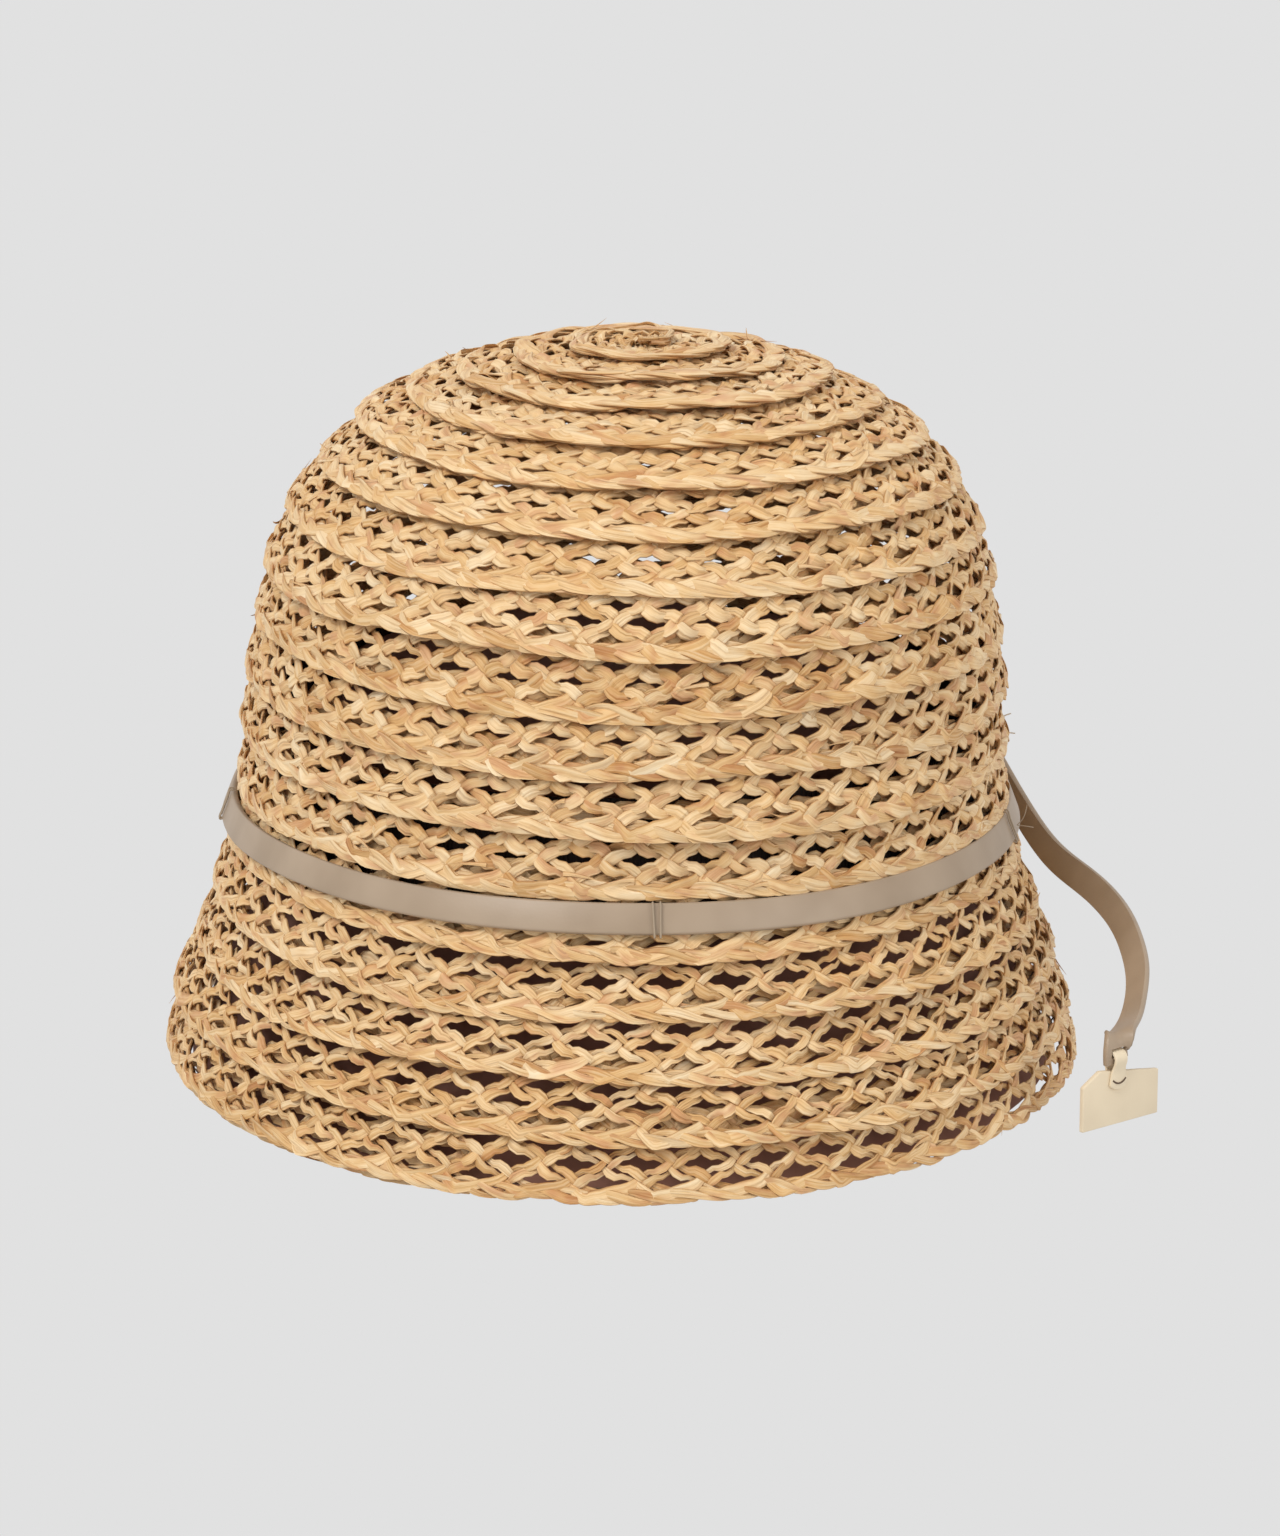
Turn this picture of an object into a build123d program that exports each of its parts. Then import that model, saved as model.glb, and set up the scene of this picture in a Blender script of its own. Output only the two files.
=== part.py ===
"""Straw sun hat: a flat raffia plait coiled from the tip and lapped, with a leather band, strap and tag.

Frame: +Z up, the front of the hat faces -Y, the wearer's left is +X. The origin is the centre of the head
opening on the plane of the brim's edge. Every part of the shell is turned about Z as a circle of its
half-width, then stretched along Y by the oval ratio, because a head is longer than it is wide.
"""

from build123d import *
import math
import os

# Shell, in millimetres: half-widths are measured across the hat, before the oval stretch
OVAL_RATIO = 1.18  # front to back over side to side
HEAD_HALF_WIDTH = 87.5  # outside of the crown where the band sits
BAND_LINE = 60.0  # height of the join of crown and brim
CROWN_TOP = 161.5
WALL_TAPER = 0.092  # how much the crown narrows for each millimetre of height
SHOULDER_ACROSS = 1.82  # exponents of the rounded shoulder: lower is more pointed
SHOULDER_UP = 4.9
BRIM_HALF_WIDTH = 103.6
CROWN_OUTLINE_STEPS = 14

# Plait
PLAIT_WIDTH = 18.5
PLAIT_THICK = 1.8
TIP_RUN = 17.7  # from the middle of the tip to the edge of its small coils
LAP_GAP = 0.4  # room for the sewing thread between two turns
CROWN_TURNS = 11
BRIM_TURNS = 5
THREAD_THICK = 0.36
SEAM_FROM_EDGE = 2.5  # the sewing line runs this far above each turn's lower edge

# Leather band, its tacks and the grosgrain sweatband
BAND_WIDTH = 6.5
BAND_THICK = 2.0
BAND_GAP = 0.1
BAND_DROP = 0.28  # the band starts this far below the last crown turn's edge
THREAD_GAP = 0.02  # between a sewing thread and what it lies on
TACK_THICK = 0.5
TACK_SPACING = 2.2
TACK_OVERHANG = 0.3  # past the band's edges, above and below
TACK_ANGLES = (5.0, 76.0, 180.0, 277.0)  # from the front, turning to the wearer's left
SWEATBAND_WIDTH = 26.0
SWEATBAND_THICK = 1.0
SWEATBAND_BELOW = 6.0  # how far its lower edge hangs below the band line
SWEATBAND_CLEAR = 0.1  # from the innermost edge of the laps behind it
SWEATBAND_HEM = 3.0  # from the lower edge up to its line of stitches

# Free end of the leather strip: a folded strap that leaves the band at the back of its left side
STRAP_WIDTH = 6.5
STRAP_THICK = 1.8
ANCHOR_ANGLE = 112.0  # from the front, turning to the wearer's left
ANCHOR_THREAD = 1.0
ANCHOR_CLEAR = 0.05
ANCHOR_OVERHANG = 1.6
ANCHOR_FOOT = 0.8
ANCHOR_ROOM = 0.65  # between the band's face and the back of the strap's root
ANCHOR_SHY = 0.7  # its two feet end this far from the band's middle line, as the band leans out below
STRAP_RISE = 0.4  # the strap starts this far above the band's middle
EYE_WALL = 0.6  # leather round the root's eye
# middle line after the root: (angle from the front, distance out from the brim, share of the height between
# its hanging end and its root), and the way the strap's width points there
STRAP_ROUTE = (
    ((104.9, 3.7, 0.714), (0.20, -0.10, 0.97)),
    ((98.5, 6.0, 0.517), (0.35, -0.10, 0.93)),
    ((90.9, 11.3, 0.434), (0.48, -0.05, 0.87)),
    ((83.6, 16.6, 0.357), (0.55, -0.12, 0.83)),
    ((77.3, 19.8, 0.271), (0.60, -0.20, 0.76)),
    ((72.5, 21.6, 0.181), (0.64, -0.28, 0.70)),
    ((68.6, 22.0, 0.098), (0.68, -0.32, 0.66)),
    ((65.1, 22.4, 0.051), (0.76, -0.10, 0.50)),
    ((62.6, 22.8, 0.041), (0.80, 0.20, 0.35)),
    ((61.0, 22.9, 0.026), (0.78, 0.50, 0.15)),
)
SLIT_WIDTH = 4.2
SLIT_HEIGHT = 2.0
SLIT_BAR = 1.0
STRAP_END = 3.6  # straight length that hangs down and holds the slit

# Tag, hanging on a leather tab that passes through the slit
TAG_ANGLE = 56.8  # its left foot, from the front
TAG_STAND = 13.5  # from the brim's edge out to its left foot
TAG_LENGTH = 22.65
TAG_TURN = 39.8  # of its long side, from the +X axis
TAG_CLEAR = 0.6  # under its lower edge
TAG_HIGH_LEFT = 13.4
TAG_HIGH_RIGHT = 10.6
TAG_CORNER = 5.0  # cut off the upper left corner along the top
TAG_CORNER_DROP = 2.8
TAG_THICK = 1.2
TAG_HANG_ALONG = 10.0  # from the left foot to the tab's middle
TAB_WIDTH = 3.5
TAB_THICK = 0.7
TAB_CLEAR = 0.35
TAB_OVERLAP = 4.5
TAB_GAP = 0.02
STITCH_THICK = 0.4
STITCH_SHY = 0.5  # the stitch stops this far short of the tab's sides
STITCH_RISE = 1.35  # above the tongue's lower end

OUT = "parts"
os.makedirs(OUT, exist_ok=True)
Z_UP = Vector(0, 0, 1)
made = []


def keep(name, shape, colour):
    """Write one sub-part to its own file."""
    shape.label = name
    shape.color = Color(*colour)
    export_step(shape, os.path.join(OUT, name + ".step"))
    made.append(name)


STRAW = (0.84, 0.70, 0.46)
LEATHER = (0.72, 0.65, 0.54)
CREAM = (0.87, 0.79, 0.66)
BROWN = (0.24, 0.16, 0.12)
WHITE = (0.9, 0.88, 0.84)


# Outline of the shell from the tip to the brim's edge, as (half-width, 0, height)
def crown_point(share):
    """A point of the crown's outline: share runs from 0 at the tip to 1 at the band line."""
    turn = math.radians(90 * share)
    height = (CROWN_TOP - BAND_LINE) * math.cos(turn) ** (2 / SHOULDER_UP)
    wall = HEAD_HALF_WIDTH - WALL_TAPER * height
    return (wall * math.sin(turn) ** (2 / SHOULDER_ACROSS), 0, BAND_LINE + height)


# points crowd towards the band line, where the superellipse moves fastest
crown_shares = [1 - (1 - i / CROWN_OUTLINE_STEPS) ** 2 for i in range(CROWN_OUTLINE_STEPS)]
crown_outline = Spline(*[crown_point(share) for share in crown_shares], (HEAD_HALF_WIDTH, 0, BAND_LINE))
flare = BRIM_HALF_WIDTH - HEAD_HALF_WIDTH
brim_outline = Spline(
    (HEAD_HALF_WIDTH, 0, BAND_LINE),
    (HEAD_HALF_WIDTH + 0.31 * flare, 0, 0.65 * BAND_LINE),
    (HEAD_HALF_WIDTH + 0.73 * flare, 0, 0.32 * BAND_LINE),
    (BRIM_HALF_WIDTH, 0, 0),
)
crown_run = crown_outline.length
crown_pitch = (crown_run - TIP_RUN) / CROWN_TURNS
brim_pitch = brim_outline.length / BRIM_TURNS
plait_lap = PLAIT_WIDTH - crown_pitch


def outline_at(run):
    """The point of the outline this far from the tip, measured along it."""
    if run <= crown_run:
        return crown_outline.position_at(run, position_mode=PositionMode.LENGTH)
    return brim_outline.position_at(run - crown_run, position_mode=PositionMode.LENGTH)


def inward(a, b):
    """Unit vector square to the line from a, lower down, to b, pointing into the hat."""
    along = (b - a).normalized()
    return Vector(-along.Z, 0, along.X)


def meeting(a, along_a, b, along_b):
    """Where two lines of the outline's plane cross."""
    cross = along_a.X * along_b.Z - along_a.Z * along_b.X
    step = ((b.X - a.X) * along_b.Z - (b.Z - a.Z) * along_b.X) / cross
    return a + along_a * step


def oval(section):
    """Turn a closed section of (half-width, 0, height) points about Z and stretch it to the head's oval."""
    face = Face(Wire.make_polygon(section, close=True))
    ring = revolve(face, axis=Axis.Z)
    return scale(ring, by=(1, OVAL_RATIO, 1))


def thread_ring(centre, along, across):
    """A closed ring of sewing thread through this point of the outline's plane, square to the two plies."""
    up = (along + across) * (THREAD_THICK / 2)
    down = (along - across) * (THREAD_THICK / 2)
    return oval([centre - up, centre + down, centre + up, centre - down])


def around(half_width, height, angle, stand):
    """A point beside an oval of this half-width, and the way out: angle in degrees from the front."""
    turn = math.radians(angle)
    point = Vector(half_width * math.sin(turn), -OVAL_RATIO * half_width * math.cos(turn), height)
    out = Vector(math.sin(turn) / half_width, -math.cos(turn) / (OVAL_RATIO * half_width), 0).normalized()
    return point + out * stand, out


# The tip: a shallow cone of the first small coils
edges = [TIP_RUN + crown_pitch * k for k in range(CROWN_TURNS + 1)]
low = outline_at(edges[0])
top = outline_at(0)
skin = inward(low, top)
low_in = low + skin * PLAIT_THICK
tip_drop = PLAIT_THICK / skin.Z * -1
top_in = top - Z_UP * tip_drop
keep("crown_tip", oval([low, top, top_in, low_in]), STRAW)

# Each turn: its edge lies on the outline, and its upper part tucks under the turn above, parallel to it
lap_threads = []
inner_corners = []
above_low, above_along = low_in, (top_in - low_in).normalized()
rows = [("crown_row_%02d" % k, edges[k]) for k in range(1, CROWN_TURNS + 1)]
rows += [("brim_row_%d" % k, crown_run + brim_pitch * k) for k in range(1, BRIM_TURNS + 1)]
turn_lines = {}
for name, run in rows:
    low = outline_at(run)
    above_in = Vector(-above_along.Z, 0, above_along.X)
    middle = above_low + above_in * LAP_GAP
    tucked = middle + above_along * plait_lap
    main_in = inward(low, middle)
    main_along = (middle - low).normalized()
    low_in = low + main_in * PLAIT_THICK
    tucked_in = tucked + above_in * PLAIT_THICK
    middle_in = meeting(low_in, main_along, tucked_in, above_along)
    if run == rows[-1][1]:
        # the brim's edge is cut level where the hat rests on it
        foot, foot_in = low - main_along * PLAIT_THICK, low_in - main_along * PLAIT_THICK
        ring = oval([foot, middle, tucked, tucked_in, middle_in, foot_in])
        ring = split(ring, bisect_by=Plane.XY, keep=Keep.TOP)
    else:
        ring = oval([low, middle, tucked, tucked_in, middle_in, low_in])
    keep(name, ring, STRAW)
    seam = above_low + above_in * (LAP_GAP / 2) + above_along * SEAM_FROM_EDGE
    lap_threads.append(thread_ring(seam, above_along, above_in))
    turn_lines[name] = (low, middle, main_in, main_along)
    inner_corners += [tucked_in, middle_in]
    above_low, above_along = low_in, main_along
keep("lap_thread", Compound(children=lap_threads), WHITE)

# Leather band, on the first turn of the brim just below the crown's last edge
last_edge = turn_lines["crown_row_%02d" % CROWN_TURNS][0]
row_middle, row_in, row_along = turn_lines["brim_row_1"][1:]
edge_drop = max((row_middle - last_edge).dot(row_along), 0)
band_top = row_middle - row_along * (edge_drop + BAND_DROP) - row_in * BAND_GAP
band_bottom = band_top - row_along * BAND_WIDTH
band_out = row_in * -BAND_THICK
keep("hat_band", oval([band_bottom, band_top, band_top + band_out, band_bottom + band_out]), LEATHER)


def on_band(angle, height_share, stand):
    """A point over the band's face and the way out from it."""
    line = band_bottom + (band_top - band_bottom) * height_share + band_out
    return around(line.X, line.Z, angle, stand)


# Tacks: pairs of thread bars that hold the band to the straw
tacks = []
for angle in TACK_ANGLES:
    for side in (-0.5, 0.5):
        lean = math.degrees(side * TACK_SPACING / HEAD_HALF_WIDTH)
        stand = TACK_THICK / 2 + BAND_GAP
        above = on_band(angle + lean, 1, stand)[0]
        below = on_band(angle + lean, 0, stand)[0]
        bar = Cylinder(TACK_THICK / 2, (below - above).length + 2 * TACK_OVERHANG)
        tacks.append(Plane(origin=(above + below) * 0.5, z_dir=(below - above).normalized()) * bar)
keep("band_tacks", Compound(children=tacks), WHITE)

# Sweatband: grosgrain ribbon sewn inside, clear of every lap behind it
sweat_foot = BAND_LINE - SWEATBAND_BELOW
behind = [c for c in inner_corners if sweat_foot <= c.Z <= sweat_foot + SWEATBAND_WIDTH]
room = min(c.X + WALL_TAPER * (c.Z - sweat_foot) for c in behind)
sweat_low = Vector(room - SWEATBAND_CLEAR, 0, sweat_foot)
sweat_rise = Vector(-WALL_TAPER, 0, 1).normalized()
sweat_in = Vector(-sweat_rise.Z, 0, sweat_rise.X)
sweat_top = sweat_low + sweat_rise * SWEATBAND_WIDTH
sweat_back = sweat_in * SWEATBAND_THICK
keep("sweatband", oval([sweat_low, sweat_top, sweat_top + sweat_back, sweat_low + sweat_back]), BROWN)
hem = sweat_low + sweat_rise * SWEATBAND_HEM - sweat_in * (THREAD_THICK / 2 + THREAD_GAP)
keep("sweatband_thread", thread_ring(hem, sweat_rise, sweat_in), BROWN)

# Strap: rectangles set along its route, lofted, with an eye at the root and a slit at the hanging end
band_lean = (band_bottom.X - band_top.X) / (band_top.Z - band_bottom.Z)
anchor_stand = STRAP_THICK / 2 + band_lean * STRAP_WIDTH / 2 + ANCHOR_ROOM
anchor, anchor_out = on_band(ANCHOR_ANGLE, 0.5, anchor_stand)
anchor = anchor + Z_UP * STRAP_RISE
foot_left = around(BRIM_HALF_WIDTH, TAG_CLEAR, TAG_ANGLE, TAG_STAND)[0]
tag_along = Vector(math.cos(math.radians(TAG_TURN)), math.sin(math.radians(TAG_TURN)), 0)
tag_face = tag_along.cross(Z_UP)
tag_slope = (TAG_HIGH_RIGHT - TAG_HIGH_LEFT) / (TAG_LENGTH - TAG_CORNER)
tag_top_at_hang = TAG_HIGH_LEFT + tag_slope * (TAG_HANG_ALONG - TAB_WIDTH / 2 - TAG_CORNER)
tab_reach = math.hypot(SLIT_BAR / 2, STRAP_THICK / 2) + TAB_CLEAR
pivot_height = tag_top_at_hang + TAB_CLEAR + TAB_THICK + tab_reach
pivot = foot_left + tag_along * TAG_HANG_ALONG + Z_UP * (pivot_height - TAG_CLEAR)
end_bottom = pivot - Z_UP * (SLIT_BAR / 2)
end_top = end_bottom + Z_UP * STRAP_END

stations = [(anchor, Z_UP)]
for (angle, stand, share), wide in STRAP_ROUTE:
    height = end_top.Z + (anchor.Z - end_top.Z) * share
    half_width = BRIM_HALF_WIDTH - flare * height / BAND_LINE
    stations.append((around(half_width, height, angle, stand)[0], Vector(*wide)))
stations += [(end_top, tag_along), (end_bottom, tag_along)]
sections = []
for i, (point, wide) in enumerate(stations):
    before = stations[max(i - 1, 0)][0]
    after = stations[min(i + 1, len(stations) - 1)][0]
    way = (after - before).normalized()
    if i == 0:
        way = Vector(way.X, way.Y, 0).normalized()
    if i >= len(stations) - 2:
        way = Z_UP * -1
    across = (wide - way * wide.dot(way)).normalized()
    sections.append(Plane(origin=point, x_dir=across, z_dir=way) * Rectangle(STRAP_WIDTH, STRAP_THICK))
strap = loft(sections, ruled=True)
eye = ANCHOR_THREAD / 2 + ANCHOR_CLEAR
eye_block = Pos(*anchor) * Cylinder(eye + EYE_WALL, STRAP_WIDTH)
eye_hole = Pos(*anchor) * Cylinder(eye, STRAP_WIDTH * 3)
slit_middle = end_bottom + Z_UP * (SLIT_BAR + SLIT_HEIGHT / 2)
slit_plane = Plane(origin=slit_middle, x_dir=tag_along, z_dir=tag_face)
strap = strap + eye_block - eye_hole - slit_plane * Box(SLIT_WIDTH, SLIT_HEIGHT, STRAP_THICK * 4)
keep("strap_tail", strap, LEATHER)
anchor_length = STRAP_WIDTH + 2 * ANCHOR_OVERHANG
anchor_bar = Pos(*anchor) * Cylinder(ANCHOR_THREAD / 2, anchor_length)
feet = []
foot_length = anchor_stand - ANCHOR_SHY
for side in (-1, 1):
    foot_top = anchor + Z_UP * (side * (anchor_length / 2 - ANCHOR_FOOT * 0.75))
    foot_plane = Plane(origin=foot_top - anchor_out * (foot_length / 2), x_dir=Z_UP, z_dir=anchor_out)
    feet.append(foot_plane * Cylinder(ANCHOR_FOOT / 2, foot_length))
keep("strap_anchor_thread", anchor_bar + feet[0] + feet[1], WHITE)

# Tag: a thin leather plate with one corner cut off, standing clear of the floor
tag_plane = Plane(origin=foot_left, x_dir=tag_along, z_dir=tag_face)
tag_outline = Polyline(
    (0, 0),
    (TAG_LENGTH, 0),
    (TAG_LENGTH, TAG_HIGH_RIGHT - TAG_CLEAR),
    (TAG_CORNER, TAG_HIGH_LEFT - TAG_CLEAR),
    (0, TAG_HIGH_LEFT - TAG_CORNER_DROP - TAG_CLEAR),
    close=True,
)
tag = extrude(tag_plane * make_face(tag_outline), amount=TAG_THICK / 2, both=True)
keep("tag", tag, CREAM)

# Tab: a loop round the bar below the slit, and a tongue sewn on the tag's front
bar_plane = Plane(origin=pivot, x_dir=tag_face, z_dir=tag_along)
loop = bar_plane * (Cylinder(tab_reach + TAB_THICK, TAB_WIDTH) - Cylinder(tab_reach, TAB_WIDTH))
tongue_low = tag_top_at_hang - TAB_OVERLAP
tongue_high = pivot.Z - tab_reach
tongue_out = tag_face * (TAG_THICK / 2 + TAB_GAP + TAB_THICK / 2)
tongue_middle = Vector(pivot.X, pivot.Y, (tongue_low + tongue_high) / 2) + tongue_out
tongue_plane = Plane(origin=tongue_middle, x_dir=tag_along, z_dir=tag_face)
tongue = tongue_plane * Box(TAB_WIDTH, tongue_high - tongue_low, TAB_THICK)
keep("tag_tab", loop + (tongue - bar_plane * Cylinder(tab_reach, TAB_WIDTH * 2)), CREAM)
stitch_out = TAG_THICK / 2 + TAB_GAP + TAB_THICK + THREAD_GAP + STITCH_THICK / 2
stitch_at = Vector(pivot.X, pivot.Y, tongue_low + STITCH_RISE) + tag_face * stitch_out
stitch_plane = Plane(origin=stitch_at, x_dir=tag_face, z_dir=tag_along)
keep("tag_stitch", stitch_plane * Cylinder(STITCH_THICK / 2, TAB_WIDTH - 2 * STITCH_SHY), BROWN)

print(len(made), "sub-parts:", ", ".join(made))
print("crown run %.1f, crown pitch %.2f, brim pitch %.2f" % (crown_run, crown_pitch, brim_pitch))
opening = sweat_low.X - SWEATBAND_THICK
print("head opening %.0f x %.0f" % (2 * opening, 2 * OVAL_RATIO * opening))
print("strap swings about Z through", anchor)
print("tag swings about", tag_along, "through", pivot)
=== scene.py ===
# %% [markdown]
# # A straw sun hat
#
# This lesson dresses a plain CAD hat. The CAD model holds the sizes: each turn of the straw coil is a plain
# oval ring there. Here every turn becomes real plaited straw, the band and strap become leather, and the tag
# gets its rounded edges. We load the CAD model first, and it never moves.

# %% Load the frame
import math

import bpy
import numpy as np
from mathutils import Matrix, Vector


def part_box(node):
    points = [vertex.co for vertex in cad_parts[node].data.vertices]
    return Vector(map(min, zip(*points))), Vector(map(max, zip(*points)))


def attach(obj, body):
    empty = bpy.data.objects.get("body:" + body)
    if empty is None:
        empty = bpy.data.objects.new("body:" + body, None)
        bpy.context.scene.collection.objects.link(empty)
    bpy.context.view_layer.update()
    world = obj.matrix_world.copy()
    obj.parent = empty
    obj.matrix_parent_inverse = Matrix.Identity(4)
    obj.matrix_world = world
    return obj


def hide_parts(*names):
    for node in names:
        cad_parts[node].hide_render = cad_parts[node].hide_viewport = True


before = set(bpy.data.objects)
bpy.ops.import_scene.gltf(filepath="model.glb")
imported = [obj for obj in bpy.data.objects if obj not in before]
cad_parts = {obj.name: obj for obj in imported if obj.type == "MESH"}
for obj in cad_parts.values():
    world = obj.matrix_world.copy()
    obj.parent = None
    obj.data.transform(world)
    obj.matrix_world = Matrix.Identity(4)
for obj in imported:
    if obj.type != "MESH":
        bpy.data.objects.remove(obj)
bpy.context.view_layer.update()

bpy.ops.object.select_all(action="DESELECT")
MM = 0.001

# %% [markdown]
# ## Small helpers
#
# A colour picker shows sRGB values, and Blender's shaders want linear light, so one function turns a hex
# colour into linear numbers. Another adds a shader node, with its settings and the links that feed it.


# %% Helpers for colours and shader nodes
def linear(hex_colour):
    """A shader colour from an sRGB hex value."""
    channels = [int(hex_colour[i:i + 2], 16) / 255 for i in (1, 3, 5)]
    light = [c / 12.92 if c <= 0.04045 else ((c + 0.055) / 1.055) ** 2.4 for c in channels]
    return (*light, 1.0)


def node(material, kind, links=None, **settings):
    """Add a shader node. A setting is a property or else an input. Links maps an input to an output."""
    made = material.node_tree.nodes.new(kind)
    for key, value in settings.items():
        name = key.replace("_", " ")
        if hasattr(made, key):
            setattr(made, key, value)
        else:
            made.inputs[name].default_value = value
    for key, source in (links or {}).items():
        material.node_tree.links.new(source, made.inputs[key])
    return made


def ramp(material, fac, stops):
    """A colour ramp through these (position, hex colour) stops."""
    made = node(material, "ShaderNodeValToRGB", {"Fac": fac})
    band = made.color_ramp
    while len(band.elements) < len(stops):
        band.elements.new(0.5)
    for element, (place, colour) in zip(band.elements, stops):
        element.position = place
        element.color = linear(colour)
    return made.outputs["Color"]


def new_material(name):
    """An empty material with a Principled shader, ready for its nodes."""
    material = bpy.data.materials.new(name)
    material.use_nodes = True
    return material, material.node_tree.nodes["Principled BSDF"]


print("mid grey #808080 is %.3f in linear light" % linear("#808080")[0])

# %% [markdown]
# ## The camera
#
# The camera stands 1.2 metres in front, a little above the hat, and looks slightly down on it. A long lens
# keeps the ovals of the brim and the band nearly parallel.

# %% Camera
CAMERA_RISE = 14.2  # degrees above the horizon
CAMERA_REACH = 1.2  # metres
CAMERA_AIM = Vector((4.2, 0, 62.5)) * MM
CAMERA_LENS = 125.3
SENSOR_WIDE = 36
NEAR, FAR = 0.05, 50

camera_data = bpy.data.cameras.new("camera")
camera = bpy.data.objects.new("camera", camera_data)
bpy.context.scene.collection.objects.link(camera)
bpy.context.scene.camera = camera
rise = math.radians(CAMERA_RISE)
toward = Vector((0, -math.cos(rise), math.sin(rise)))
camera.location = CAMERA_AIM + toward * CAMERA_REACH
camera.rotation_euler = (-toward).to_track_quat("-Z", "Y").to_euler()
camera_data.lens = CAMERA_LENS
camera_data.sensor_width = SENSOR_WIDE
camera_data.clip_start = NEAR
camera_data.clip_end = FAR
bpy.context.scene.view_settings.view_transform = "Standard"
print("camera at", camera.location)

# %% [markdown]
# ## The outline of the hat
#
# The CAD rings carry the outline: the widest point of each ring is the lower edge of one turn of straw. We
# read those points from the frame, run a smooth line through them from the tip to the brim's edge, and
# measure along it. That distance, the run, is the ruler for everything that follows.

# %% Read the outline from the frame
CROWN = sorted(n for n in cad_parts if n.startswith("crown_row_"))
BRIM = sorted(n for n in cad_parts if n.startswith("brim_row_"))
TURNS = ["crown_tip", *CROWN, *BRIM]
OUTLINE_SAMPLES = 3000


def points_of(name):
    """The points of a CAD node, in millimetres."""
    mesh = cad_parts[name].data
    found = np.zeros(len(mesh.vertices) * 3)
    mesh.vertices.foreach_get("co", found)
    return found.reshape(-1, 3) / MM


def spline(at, values, where):
    """A natural cubic spline through (at, values), read at where."""
    gap = np.diff(at)
    count = len(at)
    rows = np.eye(count)
    right = np.zeros(count)
    for i in range(1, count - 1):
        rows[i, i - 1:i + 2] = gap[i - 1], 2 * (gap[i - 1] + gap[i]), gap[i]
        right[i] = 3 * ((values[i + 1] - values[i]) / gap[i] - (values[i] - values[i - 1]) / gap[i - 1])
    bend = np.linalg.solve(rows, right)
    i = np.clip(np.searchsorted(at, where) - 1, 0, count - 2)
    x = where - at[i]
    slope = (values[i + 1] - values[i]) / gap[i] - gap[i] * (2 * bend[i] + bend[i + 1]) / 3
    return values[i] + slope * x + bend[i] * x ** 2 + (bend[i + 1] - bend[i]) / (3 * gap[i]) * x ** 3


tip_points = points_of("crown_tip")
corners = [tip_points[tip_points[:, 2].argmax()] * (0, 1, 1)]
for name in TURNS:
    ring = points_of(name)
    corners.append(ring[ring[:, 0].argmax()])
corners = np.array(corners)[:, [0, 2]]
corners[0, 0] = 0  # the line starts on the axis
rough = np.concatenate([[0], np.cumsum(np.hypot(*np.diff(corners, axis=0).T))])
fine = np.linspace(0, rough[-1], OUTLINE_SAMPLES)
line_a = spline(rough, corners[:, 0], fine)
line_z = spline(rough, corners[:, 1], fine)
line_run = np.concatenate([[0], np.cumsum(np.hypot(np.diff(line_a), np.diff(line_z)))])
edge_run = np.interp(rough[1:], fine, line_run)
slope_a = np.gradient(line_a, line_run)
slope_z = np.gradient(line_z, line_run)
brim_points = points_of("brim_row_5")
oval = np.ptp(brim_points[:, 1]) / np.ptp(brim_points[:, 0])
print("outline %.1f mm long, oval ratio %.3f" % (line_run[-1], oval))
print("turn edges at", np.round(edge_run, 1))

# %% [markdown]
# ## The plait
#
# The straw is a flat open plait of ten strands. They travel as five pairs. Each strand runs slantwise from
# one edge of the plait to the other, turns, and runs back, so its path is a rounded zigzag. Where two strands
# cross, one lies over and the other under, and each strand takes them in turn. Every strand is therefore the
# same curve, moved along by a share of the repeat, and only two heights are needed: one for the first and one
# for the second strand of a pair. Three more strands twist round each other along the lower edge, which is
# denser than the rest, like a cord.
#
# The plait could be a plain strip with the weave drawn on it, but then its holes would not be holes, and its
# edge would be straight. We build the strands themselves, so light falls through the gaps as on the real hat.

# %% Lay out the strands of the plait
PLAIT_WIDE = 20.2
PLAIT_THICK = 1.8
PITCH = float(np.mean(np.diff(edge_run)))
LAP_STEP = 2.2  # how much further in each next turn lies
STRAND_WIDE = 2.0
STRAND_THICK = 0.64
PAIRS = 5
REPEAT = 13.5
ZIGZAG = PAIRS * REPEAT
PAIR_APART = 1.55  # between the middles of the two strands of a pair
EDGE_SHIFT = 2.2  # at the edges the two part along the plait, and turn one after the other
STAIR = 0.75  # how much steeper a strand runs where it crosses, and how much flatter in between
SWING = 8.4
BEND_FROM, BEND_LONG = 0.15, 0.1  # where a strand starts to turn at the edge, and for how long, in zigzags
SWAP_TILT = math.radians(14)  # two partners change sides while a strand is flatter than this
STRAND_LIFT = 0.5  # how far a strand rises over another

STRANDS = [(pair / PAIRS, side) for pair in range(PAIRS) for side in (-1, 1)]
EDGE_STRANDS = 3
CORD_UP, CORD_SWING, CORD_OUT, CORD_LIFT = 1.9, 1.0, 0.2, 0.45
CORD_TWIST = 1.5 * REPEAT
CORD_EASE = 900  # the cord moves out to its place over this much of the coil
COUNT = len(STRANDS) + EDGE_STRANDS
quarter = np.linspace(0, 0.25, 251)
climb = np.where(
    quarter < BEND_FROM,
    1 - STAIR * np.cos(20 * np.pi * quarter),
    (1 + STAIR) * np.clip((0.25 - quarter) / BEND_LONG, 0, 1) ** 1.5,
)
rise_table = np.concatenate([[0], np.cumsum((climb[1:] + climb[:-1]) / 2)])
rise_table /= rise_table[-1]


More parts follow.
